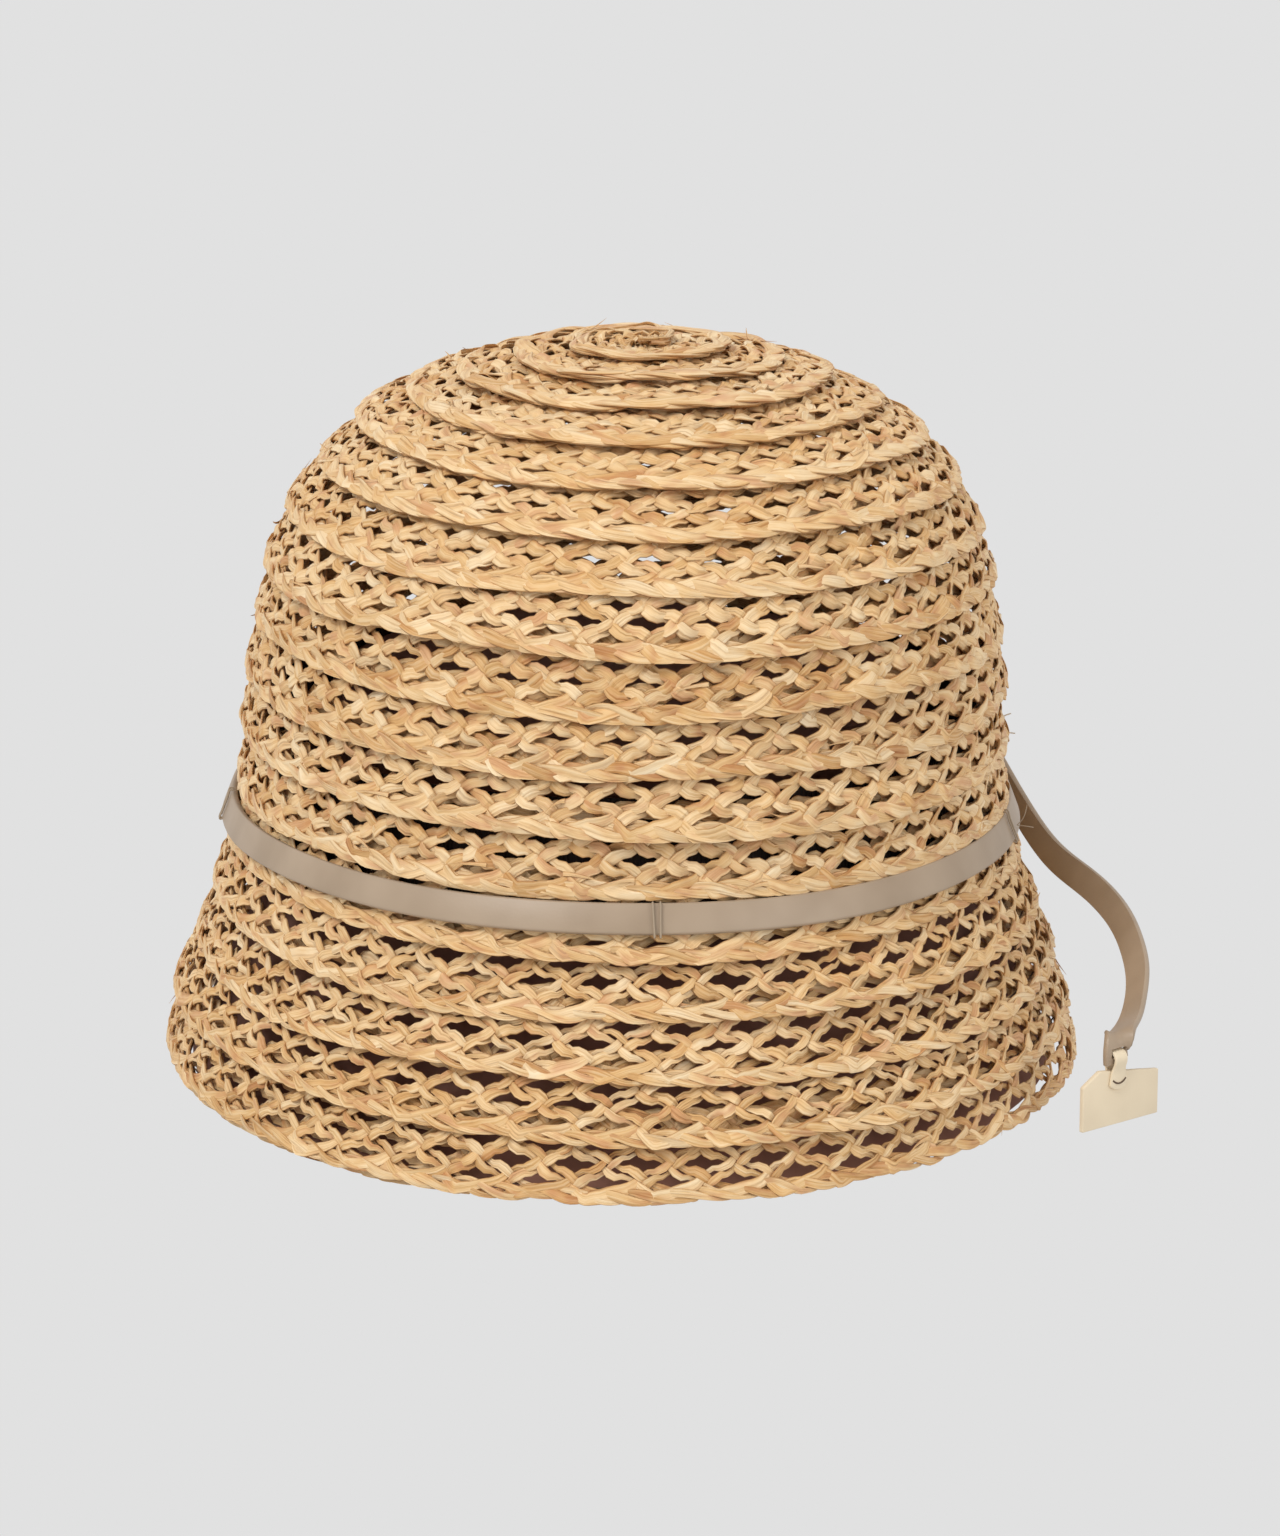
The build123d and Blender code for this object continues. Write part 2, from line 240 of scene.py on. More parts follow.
def zigzag(turn):
    """Height of a strand's middle over the plait's middle, where turn counts zigzags."""
    turn = (np.asarray(turn) + 0.25) % 1 - 0.25
    folded = np.where(turn > 0.25, 0.5 - turn, turn)
    return SWING * np.sign(folded) * np.interp(np.abs(folded), quarter, rise_table)


def tilt_at(turn, step=0.05 / ZIGZAG):
    """Angle of a pair's line to the length of the plait."""
    return np.arctan((zigzag(turn + step) - zigzag(turn - step)) / (2 * step * ZIGZAG))


def strand_line(turn, side):
    """A strand's line as (turn, height): beside its pair's line, and changing sides at the edge."""
    tilt = tilt_at(turn)
    folded = np.abs((np.asarray(turn) + 0.25) % 0.5 - 0.25)
    at_edge = np.clip((folded - BEND_FROM) / BEND_LONG, 0, 1)
    at_edge = at_edge ** 2 * (3 - 2 * at_edge)
    swap = np.clip(-tilt / SWAP_TILT, -1, 1)
    along = side * (PAIR_APART / 2 * np.abs(np.sin(tilt)) + EDGE_SHIFT * at_edge)
    up = side * swap * PAIR_APART / 2 * np.cos(tilt)
    return turn + along / ZIGZAG, zigzag(turn) + up


SAMPLES = 3600  # in one zigzag
OVER_UNDER = 1.3  # how quickly a strand goes from over to under
around = np.arange(-SAMPLES // 4, 5 * SAMPLES // 4) / SAMPLES


def track(side):
    """A strand's line, for a little more than one zigzag."""
    return strand_line(around, side)


def crossing_heights(side):
    """Where one strand passes over (+1) and under (-1) the others along one zigzag, smoothed in between."""
    here = np.arange(SAMPLES) / SAMPLES
    others = [(phase, s) for phase, s in STRANDS if (phase, s) != (0, side)]
    mine = np.interp(here, *track(side))
    tracks = np.array([np.interp((here + phase) % 1, *track(s)) for phase, s in others])
    rising = np.roll(mine, -1) > mine
    places, signs = [], []
    for other in range(len(others)):
        apart = mine - tracks[other]
        for i in np.nonzero((apart * np.roll(apart, -1) < 0) & (np.abs(apart) < 1))[0]:
            below = int((np.delete(tracks[:, i], other) < mine[i]).sum())
            over = (below % 2 == 0) != bool(rising[i])
            places.append(here[i])
            signs.append(1.0 if over else -1.0)
    order = np.argsort(places)
    places, signs = np.array(places)[order], np.array(signs)[order]
    places = np.concatenate([places - 1, places, places + 1])
    own = np.interp(here, around, track(side)[0])
    height = np.interp(own, places, np.tile(signs, 3))
    return np.sin(np.pi / 2 * np.clip(height * OVER_UNDER, -1, 1))


heights = [crossing_heights(-1), crossing_heights(1)]
print("crossings of one strand in a zigzag:", int((np.diff(np.sign(heights[0])) != 0).sum()))

# %% [markdown]
# ## From the flat plait to the coil
#
# A point of the plait has three numbers: how far along, how far up from the lower edge, and how far out. To
# place it on the hat we turn "along" into an angle, "up" into a run on the outline, and "out" into a step
# square to the outline. Each turn's lower edge lies over the turn below, so a turn also leans: its upper edge
# sits one lap further in. The edge itself falls slowly as it goes round, which makes the coil a true spiral.

# %% Map the plait onto the hat
START, FINISH = -0.9, 16.95  # in turns, where a whole number is the front of that turn
LAST = len(TURNS) - 1
CROWN_LEAN = 0.033  # the soft crown sits a little over to the wearer's left
band_low, band_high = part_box("hat_band")
band_line = band_high.z / MM
chance = np.random.default_rng(20)


def ripple(count, size, slowest=1.0, fastest=9.0):
    """A smooth random wave along the coil: (cycles per turn, phase, size) of some sines."""
    each = size / count ** 0.5
    return [(chance.uniform(slowest, fastest), chance.uniform(0, 2 * np.pi), each) for _ in range(count)]


def read_ripple(waves, turn):
    """The height of a wave at these places."""
    return sum(size * np.sin(2 * np.pi * cycles * turn + phase) for cycles, phase, size in waves)


edge_ripple = ripple(7, 0.55)
bulge_ripple = ripple(6, 0.5, 0.4, 5.0)


def edge_at(turn):
    """Run of the plait's lower edge at this turn. The last turn levels out along the floor."""
    inner = edge_run[0] + turn * (edge_run[1] - edge_run[0])
    outer = np.interp(turn, np.arange(LAST + 1), edge_run)
    run = np.where(turn < 0, inner, outer)
    left = np.clip((LAST - turn) * PITCH, -PITCH, None)
    levelled = line_run[-1] - (left + np.sqrt(left ** 2 + 1.0)) / 2
    near = np.clip((turn - (LAST - 1.2)) / 0.4, 0, 1)
    fade = np.clip((LAST - 0.5 - turn) / 1.0, 0, 1)
    return run * (1 - near) + levelled * near + read_ripple(edge_ripple, turn) * fade


BAND_THICK = 2.0
BAND_CLEAR = 0.25  # room between the straw and the band's inner face
BAND_LEAN = 0.11  # the band's face leans in this much for each step up
EASE_OFF = 0.35
SOFTNESS = 0.6  # straw that is closer to the band than this is bent, never cut off
band_face = band_high.x / MM - BAND_THICK
band_span = (band_low.z / MM, band_high.z / MM)


def press_under_band(side, high):
    """Keep straw inside the band where it grips, easing off over a few millimetres above and below."""
    beyond = np.maximum(np.maximum(band_span[0] - high, high - band_span[1]), 0)
    face = band_face - BAND_CLEAR - BAND_LEAN * (high - band_span[0]) + EASE_OFF * beyond ** 2
    room = face - side
    bent = face - SOFTNESS * np.exp(np.clip(room - SOFTNESS, -30, 0) / SOFTNESS)
    return np.where(room > SOFTNESS, side, bent)


def on_hat(turn, up, out):
    """Points in millimetres for arrays of turn, distance up the plait from its lower edge, and out."""
    low = edge_at(turn)
    inner = np.maximum(low - PLAIT_WIDE, 0.9)
    run = low - up * (low - inner) / PLAIT_WIDE
    shown = np.clip(low - edge_at(turn - 1), 0, PITCH)
    tuck = np.where(turn > LAST - 0.5, 1 - shown / PITCH, 0) * LAP_STEP
    inset = tuck + LAP_STEP * (low - run) / PITCH + PLAIT_THICK / 2 - out
    inset = inset - read_ripple(bulge_ripple, turn) * np.clip(run / 60, 0, 1)
    side = np.interp(run, line_run, line_a)
    high = np.interp(run, line_run, line_z)
    toward_side = -np.interp(run, line_run, slope_z)
    toward_up = np.interp(run, line_run, slope_a)
    side = side - toward_side * inset
    high = high - toward_up * inset
    side = press_under_band(side, high)
    angle = 2 * np.pi * turn
    lean = CROWN_LEAN * np.clip(high - band_line, 0, None)
    x = side * np.sin(angle) + lean
    y = -oval * side * np.cos(angle)
    return np.stack([x, y, np.maximum(high, 0.15)], axis=-1)


ladder = np.linspace(START - 1.0, FINISH + 0.01, 9000)
middle = on_hat(ladder, np.full_like(ladder, PLAIT_WIDE * 0.4), np.zeros_like(ladder))
ladder_length = np.concatenate([[0], np.cumsum(np.linalg.norm(np.diff(middle, axis=0), axis=1))])
print("the plait is %.1f m long" % (ladder_length[-1] / 1000))

# %% [markdown]
# ## Sweeping the strands
#
# A strand is a split leaf: flat, a little puffed, and never quite even. We sweep a small lens-shaped section
# along its path. Its width, lean and tint wander, and it is widest where it lies on top. Each face also gets
# a place on a flat map, in millimetres along and across the strand, so the material can draw fibres that
# follow it. There are too many strands to sweep by hand with a Curve and a bevel, so arrays do it, one turn
# of the coil at a time.

# %% Build a turn of the coil
SIDES = 8
STEPS = 12  # sections in each repeat
section_across = np.array([1, 0.84, 0, -0.84, -1, -0.84, 0, 0.84])
section_out = np.array([0, 0.75, 1, 0.75, 0, -0.75, -1, -0.75])
TILE = 0.16  # a strand leans on its partner like a roof tile
WIDTHS = (
    (0, 6, len(CROWN) + 0.5, len(CROWN) + 1.5),  # turns of the coil
    (1.3, 1.18, 1.1, 0.82),  # drawn together at the tip, open on the brim
)
EDGE_WIDER = 0.22  # a strand spreads where it turns at the edge
CORD_NARROWER = 0.12
TOP_WIDER = 0.24  # and where it lies on top
SECTION_GIRTH = 6.0
LEAF_LONG = 110  # on average, a new leaf is spliced in after this much plait
MAP_STRETCH = 1.12  # a strand is this much longer than its plait
MAP_SHIFT = 37.0  # so that no two strands share their fibres
WAVES = 4

whole = ladder_length[-1]
splices = [np.sort(chance.uniform(0, whole, int(whole / LEAF_LONG))) for _ in range(COUNT)]
tints = [chance.uniform(0, 1, len(s) + 1) for s in splices]


def wander(longest, shortest, size):
    """Some slow random waves for each strand, between these lengths in millimetres."""
    return [
        [(chance.uniform(1 / longest, 1 / shortest), chance.uniform(0, 6.28), size) for _ in range(WAVES)]
        for _ in range(COUNT)
    ]


width_waves = wander(90, 14, 0.09)
twist_waves = wander(80, 16, 0.13)
drift_waves = wander(70, 12, 0.17)
lift_waves = wander(60, 10, 0.07)


def strand_sections(which, along):
    """Sections of one strand: corner points, map places and tint for each distance along the plait."""
    if which < len(STRANDS):
        phase, side = STRANDS[which]
        turn = along / ZIGZAG + phase
        line_turn, line_up = strand_line(turn, side)
        middle_up = PLAIT_WIDE / 2 + line_up
        middle_along = along + (line_turn - turn) * ZIGZAG
        height = np.interp(turn % 1, np.arange(len(heights[0])) / len(heights[0]), heights[which % 2])
        lift = STRAND_LIFT * height
        tilt = tilt_at(turn)
        at_edge = EDGE_WIDER * (4 * np.clip(np.abs(zigzag(turn)) / SWING, 0.75, 1) - 3)
    else:
        wave = 2 * np.pi * (along / CORD_TWIST + which / EDGE_STRANDS)
        middle_up = CORD_UP - CORD_SWING * np.sin(wave)
        middle_along = along
        height = np.cos(wave)
        lift = CORD_OUT * np.interp(along, (0, CORD_EASE), (0, 1)) + CORD_LIFT * height
        tilt = -np.arctan(CORD_SWING * 2 * np.pi / CORD_TWIST * np.cos(wave))
        at_edge = -CORD_NARROWER
    middle_up = middle_up + read_ripple(drift_waves[which], along)
    share = np.interp(np.interp(along, ladder_length, ladder), *WIDTHS)
    half = STRAND_WIDE / 2 * (share + at_edge + TOP_WIDER * height)
    half = half * (1 + read_ripple(width_waves[which], along))
    twist = TILE + read_ripple(twist_waves[which], along)
    across = section_across * half[:, None]
    out = section_out * STRAND_THICK / 2
    turned_out = section_across * (half * np.sin(twist))[:, None] + out * np.cos(twist)[:, None]
    place_along = middle_along[:, None] - np.sin(tilt)[:, None] * across
    place_up = middle_up[:, None] + np.cos(tilt)[:, None] * across
    lift = lift + read_ripple(lift_waves[which], along)
    place_out = lift[:, None] + turned_out
    coil_turn = np.interp(place_along, ladder_length, ladder)
    corners = on_hat(coil_turn, np.clip(place_up, 0, PLAIT_WIDE), place_out)
    return corners, tints[which][np.searchsorted(splices[which], along)]


def tube_faces(count, first, sides=SIDES):
    """Corner numbers of the quads round a tube with this many sections, and each quad's section and side."""
    i, j = np.meshgrid(np.arange(count - 1), np.arange(sides), indexing="ij")
    k = (j + 1) % sides
    quads = np.stack([i * sides + j, i * sides + k, (i + 1) * sides + k, (i + 1) * sides + j], axis=-1)
    return quads.reshape(-1, 4) + first, i.ravel(), j.ravel()


def mesh_from(name, verts, quads, caps, places, tint):
    """A mesh object from arrays: quads with their map places, and closed ends."""
    mesh = bpy.data.meshes.new(name)
    loops = np.concatenate([quads.ravel(), caps.ravel()])
    starts = np.concatenate([np.arange(len(quads)) * 4, len(quads) * 4 + np.arange(len(caps)) * SIDES])
    totals = np.concatenate([np.full(len(quads), 4), np.full(len(caps), SIDES)])
    mesh.vertices.add(len(verts))
    mesh.vertices.foreach_set("co", (verts * MM).astype(np.float32).ravel())
    mesh.loops.add(len(loops))
    mesh.loops.foreach_set("vertex_index", loops.astype(np.int32))
    mesh.polygons.add(len(starts))
    mesh.polygons.foreach_set("loop_start", starts.astype(np.int32))
    mesh.polygons.foreach_set("loop_total", totals.astype(np.int32))
    mesh.update(calc_edges=True)
    layer = mesh.uv_layers.new(name="fibres")
    flat = np.concatenate([places.reshape(-1, 2), np.zeros((caps.size, 2))])
    layer.data.foreach_set("uv", flat.astype(np.float32).ravel())
    colour = mesh.attributes.new("tint", "FLOAT", "POINT")
    colour.data.foreach_set("value", tint.astype(np.float32))
    mesh.validate()
    made = bpy.data.objects.new(name, mesh)
    bpy.context.scene.collection.objects.link(made)
    bpy.ops.object.select_all(action="DESELECT")
    made.select_set(True)
    bpy.context.view_layer.objects.active = made
    bpy.ops.object.shade_smooth_by_angle(angle=math.radians(38))
    made.select_set(False)
    return made


def plait_turn(name, first_turn, last_turn):
    """One piece of the coil, from one turn number to another."""
    begin, end = np.interp([first_turn, last_turn], ladder, ladder_length)
    count = int((end - begin) / REPEAT * STEPS) + 2
    along = np.linspace(begin, end, count)
    verts, quads, caps, places, tint = [], [], [], [], []
    for which in range(COUNT):
        sections, colour = strand_sections(which, along)
        first = which * count * SIDES
        faces, i, j = tube_faces(count, first)
        verts.append(sections.reshape(-1, 3))
        quads.append(faces)
        caps.append(first + np.arange(SIDES)[::-1])
        caps.append(first + (count - 1) * SIDES + np.arange(SIDES))
        length = along * MAP_STRETCH + MAP_SHIFT * which
        across = SECTION_GIRTH * np.stack([j, j + 1, j + 1, j], axis=-1) / SIDES
        down = np.stack([length[i], length[i], length[i + 1], length[i + 1]], axis=-1)
        places.append(np.stack([down, across], axis=-1))
        tint.append(np.repeat(colour, SIDES))
    made = mesh_from(name, np.concatenate(verts), np.concatenate(quads), np.array(caps),
                     np.concatenate(places), np.concatenate(tint))
    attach(made, "shell")
    return made


coil = []
for k, name in enumerate(TURNS):
    first_turn = START if k == 0 else k - 0.5
    last_turn = FINISH if k == LAST else k + 0.5
    piece = plait_turn("plait_" + name, first_turn, last_turn)
    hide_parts(name)
    coil.append(piece)
print("coil pieces:", len(coil), "faces:", sum(len(o.data.polygons) for o in coil))

# %% [markdown]
# ## Frayed ends
#
# Torn ends of leaf stand out of a hand-made plait here and there. Each is a short pointed sliver that leaves
# the surface slowly. They use the same section and faces as the strands, so they take the same material.

# %% Frayed ends
FRAYS = 130
FRAY_LONG = (4, 10)
FRAY_UP, FRAY_DRIFT = (2.0, 9.0), (-3.0, 2.5)
FRAY_ROOT, FRAY_RISE = (0.5, 1.0), (0.4, 2.0)
FRAY_HALF_WIDE, FRAY_HALF_THICK = 0.5, 0.15
fray_steps = np.linspace(0, 1, 6)
verts, quads, caps, places, tint = [], [], [], [], []
for k in range(FRAYS):
    start = np.interp(chance.uniform(0.4, LAST + 0.8), ladder, ladder_length)
    along = start + chance.choice([-1, 1]) * chance.uniform(*FRAY_LONG) * fray_steps
    up = chance.uniform(*FRAY_UP) + chance.uniform(*FRAY_DRIFT) * fray_steps ** 2
    lift = chance.uniform(*FRAY_ROOT) + chance.uniform(*FRAY_RISE) * fray_steps ** 1.6
    narrowing = 1 - 0.9 * fray_steps
    across = section_across * (FRAY_HALF_WIDE * narrowing)[:, None]
    out = lift[:, None] + section_out * (FRAY_HALF_THICK * narrowing)[:, None]
    coil_turn = np.interp(along, ladder_length, ladder)[:, None] + 0 * across
    first = k * len(fray_steps) * SIDES
    faces, i, j = tube_faces(len(fray_steps), first)
    verts.append(on_hat(coil_turn, np.clip(up[:, None] + across, 0, PLAIT_WIDE), out).reshape(-1, 3))
    quads.append(faces if along[1] > along[0] else faces[:, ::-1])
    ends = [first + np.arange(SIDES)[::-1], first + (len(fray_steps) - 1) * SIDES + np.arange(SIDES)]
    caps += ends if along[1] > along[0] else [end[::-1] for end in ends]
    down = np.stack([i, i, i + 1, i + 1], axis=-1) * 1.5
    round_it = np.stack([j, j + 1, j + 1, j], axis=-1) * 0.4
    places.append(np.stack([down, round_it], axis=-1))
    tint.append(np.full(len(fray_steps) * SIDES, chance.uniform(0.2, 1)))
frays = mesh_from("frayed_ends", np.concatenate(verts), np.concatenate(quads), np.array(caps),
                  np.concatenate(places), np.concatenate(tint))
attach(frays, "shell")
coil.append(frays)
print("frayed ends:", FRAYS)

# %% [markdown]
# ## Raffia
#
# Raffia is a split palm leaf, dried and left undyed. It is satin rather than shiny, cream to golden, with
# fine fibres along each strand and browner leaves here and there. Each strand darkens towards its edges:
# painted shade where strands meet, together with the leaf's darker torn edges.
# The fibres are noise stretched along the strand's own map; the tint attribute sets each length of leaf
# apart.

# %% Raffia material
FIBRE_APART = 0.45  # millimetres; real fibres are finer, and this is as fine as shows
FIBRE_LONG = 22.0
BLOTCH_LONG, BLOTCH_WIDE = 9.0, 2.4


def mix(material, kind, factor, a, b):
    """Blend two colours. Inputs 6 and 7 and output 2 of the Mix node are its colours."""
    made = node(material, "ShaderNodeMix", {6: a, 7: b}, data_type="RGBA", blend_type=kind, Factor=factor)
    return made.outputs[2]


def raffia():
    """Dried palm leaf: fibres along each strand, brown blotches, and darker strand edges: painted shade where
    strands meet, with the leaf's torn edges.
    """
    material, shader = new_material("split raffia leaf")
    place = node(material, "ShaderNodeUVMap", uv_map="fibres").outputs["UV"]
    tint = node(material, "ShaderNodeAttribute", attribute_name="tint").outputs["Fac"]
    fibre_size = (1 / FIBRE_LONG, 1 / FIBRE_APART, 1)
    stretched = node(material, "ShaderNodeMapping", {"Vector": place}, Scale=fibre_size).outputs["Vector"]
    fibre = node(
        material, "ShaderNodeTexNoise", {"Vector": stretched}, Scale=1.0, Detail=5.0, Roughness=0.65
    ).outputs["Fac"]
    blotch_size = (1 / BLOTCH_LONG, 1 / BLOTCH_WIDE, 1)
    wide = node(material, "ShaderNodeMapping", {"Vector": place}, Scale=blotch_size).outputs["Vector"]
    blotch = node(material, "ShaderNodeTexNoise", {"Vector": wide}, Scale=1.0, Detail=2.0).outputs["Fac"]
    fibre_hues = [(0.32, "#96602A"), (0.44, "#D8AE74"), (0.55, "#F0D3A6"), (0.75, "#FAEACC")]
    leaf_hues = [(0.0, "#BC8648"), (0.1, "#E0B880"), (0.55, "#F1D5AA"), (1.0, "#F9E5C3")]
    fibres = ramp(material, fibre, fibre_hues)
    leaf = ramp(material, tint, leaf_hues)
    # Each strand darkens towards its long edges: painted shade where strands meet and pass under each other,
    # together with the leaf's darker torn edges.
    across = node(material, "ShaderNodeSeparateXYZ", {"Vector": place}).outputs["Y"]
    inward = node(material, "ShaderNodeMath", {0: across}, operation="PINGPONG")
    inward.inputs[1].default_value = SECTION_GIRTH / 4
    torn_edge_and_shade = ramp(material, inward.outputs[0], [(0.0, "#A06A34"), (0.3, "#E8C896"), (0.55, "#FFFFFF")])
    shade = ramp(material, blotch, [(0.32, "#D2945A"), (0.46, "#F6E2C0"), (0.7, "#FFFFFF")])
    colour = mix(material, "MULTIPLY", 0.6, mix(material, "MIX", 0.45, fibres, leaf), shade)
    colour = mix(material, "MULTIPLY", 0.65, colour, torn_edge_and_shade)
    material.node_tree.links.new(colour, shader.inputs["Base Color"])
    bump = node(material, "ShaderNodeBump", {"Height": fibre}, Strength=0.9, Distance=0.0005)
    material.node_tree.links.new(bump.outputs["Normal"], shader.inputs["Normal"])
    shader.inputs["Roughness"].default_value = 0.5
    shader.inputs["Specular IOR Level"].default_value = 0.4
    return material


straw = raffia()
for piece in coil:
    piece.data.materials.append(straw)
print("material:", straw.name)

# %% [markdown]
# ## One sweep for threads and straps
#
# Threads are round tubes along a line. The strap and the tab are flat strips whose width turns as they go.
# Both are sections set along a path, so one function sweeps any section along any path. At each point it
# needs the way the width points, and the section is given as (across, out) pairs in millimetres.


# %% Sweep a section along a path
def sweep(name, path, wide, section, body, width=None):
    """A closed tube: the section is set square to the path at each point, its width along wide."""
    path = np.array(path, float)
    way = np.gradient(path, axis=0)
    way /= np.linalg.norm(way, axis=1)[:, None]
    wide = np.broadcast_to(np.array(wide, float), path.shape)
    wide = wide - way * (wide * way).sum(1)[:, None]
    wide = wide / np.linalg.norm(wide, axis=1)[:, None]
    out = np.cross(wide, way)
    width = np.ones(len(path)) if width is None else np.array(width)
    section = np.array(section, float)
    across = (wide * width[:, None])[:, None] * section[None, :, :1]
    points = path[:, None] + across + out[:, None] * section[None, :, 1:]
    count, sides = len(path), len(section)
    faces = tube_faces(count, 0, sides)[0].tolist()
    faces += [list(range(sides))[::-1], list(range((count - 1) * sides, count * sides))]
    mesh = bpy.data.meshes.new(name)
    mesh.from_pydata((points.reshape(-1, 3) * MM).tolist(), [], faces)
    made = bpy.data.objects.new(name, mesh)
    bpy.context.scene.collection.objects.link(made)
    tidy(made)
    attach(made, body)
    return made


def tidy(piece):
    """Face every side outward and shade it smooth, with sharp edges kept."""
    bpy.ops.object.select_all(action="DESELECT")
    bpy.context.view_layer.objects.active = piece
    piece.select_set(True)
    bpy.ops.object.mode_set(mode="EDIT")
    bpy.ops.mesh.select_all(action="SELECT")
    bpy.ops.mesh.normals_make_consistent(inside=False)
    bpy.ops.object.mode_set(mode="OBJECT")
    bpy.ops.object.shade_smooth_by_angle(angle=math.radians(40))
    piece.select_set(False)


def round_section(radius, sides=8):
    """A round thread's section."""
    turn = 2 * np.pi * np.arange(sides) / sides
    return np.stack([radius * np.cos(turn), radius * np.sin(turn)], axis=-1)


def smooth_path(points, count):
    """A smooth line through the points, with this many samples evenly spread over its length."""
    points = np.array(points, float)
    at = np.concatenate([[0], np.cumsum(np.linalg.norm(np.diff(points, axis=0), axis=1))])
    where = np.linspace(0, at[-1], count)
    return np.stack([spline(at, points[:, i], where) for i in range(points.shape[1])], axis=-1)


def join(pieces, name):
    """Join pieces into the first one."""
    bpy.ops.object.select_all(action="DESELECT")
    for piece in pieces:
        piece.select_set(True)
    bpy.context.view_layer.objects.active = pieces[0]
    bpy.ops.object.join()
    pieces[0].name = name
    pieces[0].select_set(False)
    return pieces[0]


print("a thread's section has", len(round_section(1.0)), "corners")

# %% [markdown]
# ## Leather band
#
# The band is a strip of soft leather folded round so that both long edges are rounded. A circle is stretched
# to the head's oval, extruded up and drawn in to lie along the straw, then given its thickness with
# Solidify and its folded edges with Bevel. It was put on by hand, so it dips a little to one side.

# %% Band
BAND_DIP = 0.011
BAND_WALL = 1.7
BAND_FOLD = 0.55
RING_STEPS = 240
band_corners = points_of("hat_band")
band_corners = band_corners[np.abs(band_corners[:, 1]) < 0.01]
band_corners = band_corners[band_corners[:, 0] > 0]
low_out = band_corners[band_corners[:, 0].argmax()]
low_in = band_corners[band_corners[:, 2].argmin()]
top_out = band_corners[band_corners[:, 2].argmax()]
top_in = band_corners[band_corners[:, 0].argmin()]


def oval_band(name, foot, head, thick, bevel, body):
    """An oval ring between two (half-width, 0, height) points, thickened outward, with rounded edges."""
    bpy.ops.mesh.primitive_circle_add(vertices=RING_STEPS, radius=foot[0] * MM, location=(0, 0, 0))
    ring = bpy.context.object
    ring.name = name
    bpy.ops.object.mode_set(mode="EDIT")
    bpy.ops.mesh.select_all(action="SELECT")
    bpy.ops.transform.resize(value=(1, oval, 1), center_override=(0, 0, 0))
    bpy.ops.transform.translate(value=(0, 0, foot[2] * MM))
    bpy.ops.mesh.extrude_region_move(TRANSFORM_OT_translate={"value": (0, 0, (head[2] - foot[2]) * MM)})
    narrower = head[0] / foot[0]
    bpy.ops.transform.resize(value=(narrower, narrower, 1), center_override=(0, 0, head[2] * MM))
    bpy.ops.mesh.select_all(action="SELECT")
    bpy.ops.mesh.normals_make_consistent(inside=False)
    bpy.ops.object.mode_set(mode="OBJECT")
    wall = ring.modifiers.new("wall", "SOLIDIFY")
    wall.thickness = thick * MM
    wall.offset = 1
    bpy.ops.object.modifier_apply(modifier=wall.name)
    if bevel:
        fold = ring.modifiers.new("fold", "BEVEL")
        fold.width = bevel * MM
        fold.segments = 3
        fold.limit_method = "ANGLE"
        fold.angle_limit = math.radians(50)
        bpy.ops.object.modifier_apply(modifier=fold.name)
    tidy(ring)
    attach(ring, body)
    return ring


def dip(piece):
    """Lower one side a little and let the strip waver."""
    mesh = piece.data
    co = np.zeros(len(mesh.vertices) * 3)
    mesh.vertices.foreach_get("co", co)
    co = co.reshape(-1, 3)
    turn = np.arctan2(co[:, 1], co[:, 0])
    co[:, 2] += (-BAND_DIP * co[:, 0] / MM + 0.22 * np.sin(3 * turn + 1) + 0.12 * np.sin(7 * turn)) * MM
    mesh.vertices.foreach_set("co", co.ravel())
    mesh.update()


band = oval_band("leather_band", low_in, top_in, BAND_WALL, BAND_FOLD, "shell")
dip(band)
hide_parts("hat_band")
print("band from", np.round(low_out, 2), "to", np.round(top_out, 2))

# %% [markdown]
# ## Sewing threads
#
# The band is tacked on at four places, each with two bars of thread, and two loose ends stand out by one of
# them. A finer thread runs round in the laps and holds each turn of straw to the last. It follows the same
# spiral as the straw, so we ask the hat's own map for its path.


# %% Threads
def beside_band(angle, share, stand):
    """A point over the band's face, at this share of its height, and the way out of the hat there."""
    line = low_out + (top_out - low_out) * share
    turn = math.radians(angle)
    point = np.array([line[0] * math.sin(turn), -oval * line[0] * math.cos(turn), line[2]])
    out = np.array([math.sin(turn) / line[0], -math.cos(turn) / (oval * line[0]), 0])
    out /= np.linalg.norm(out)
    point = point + out * stand
    point[2] += -BAND_DIP * point[0]
    return point, out


TACK_ANGLES = (5, 76, 180, 277)
TACK_HALF_GAP = 0.62
BAND_HALF_WIDE = 88
TACK_PATH = (  # (share of the band's height, height over its face)
    (0.02, -1.2), (-0.05, 0.05), (0.15, 0.12), (0.5, 0.1), (0.85, 0.12), (1.05, 0.05), (0.98, -1.2),
)
TACK_THREAD, FINE_THREAD, LOOSE_THREAD = 0.2, 0.18, 0.1  # half their thickness
LOOSE_ANGLE = 78.5
SEAM_UP = 3.2  # above a turn's lower edge, in the lap behind it
SEAM_IN = PLAIT_THICK / 2 + 0.25

